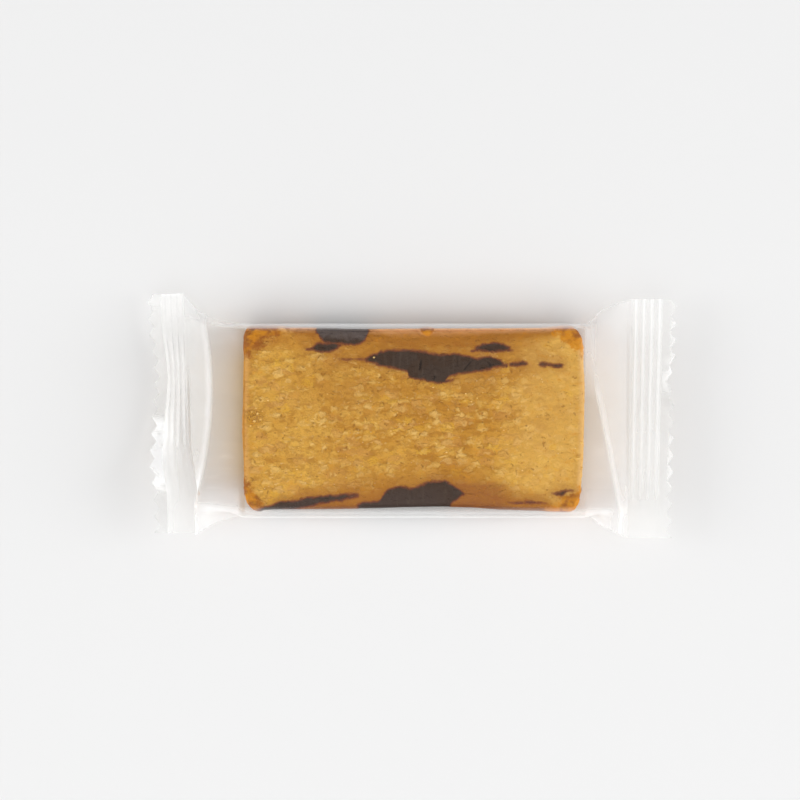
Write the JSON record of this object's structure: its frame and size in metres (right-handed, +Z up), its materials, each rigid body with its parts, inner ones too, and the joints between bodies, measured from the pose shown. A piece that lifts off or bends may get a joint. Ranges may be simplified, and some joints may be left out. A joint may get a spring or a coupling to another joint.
{
  "type": "coffee biscotti in a clear flow-wrap",
  "caption": "Rectangular slice of golden biscotti with dark coffee swirls, sealed in a clear film pack with crimped, zigzag-cut end seals, lying flat.",
  "frame": {"origin": "bottom centre of the pack's box, on the surface that it lies on", "axes": "+X along the pack from one end seal to the other, +Y across it, +Z up through its thickness"},
  "size_m": [0.101, 0.0464, 0.0101],
  "materials": {
    "film": "clear glossy plastic film over a golden biscuit slice",
    "biscotti": "matt golden baked crumb with dark brown coffee swirls"
  },
  "bodies": {
    "root": {"flow_pack": "film"}
  },
  "joints": []
}
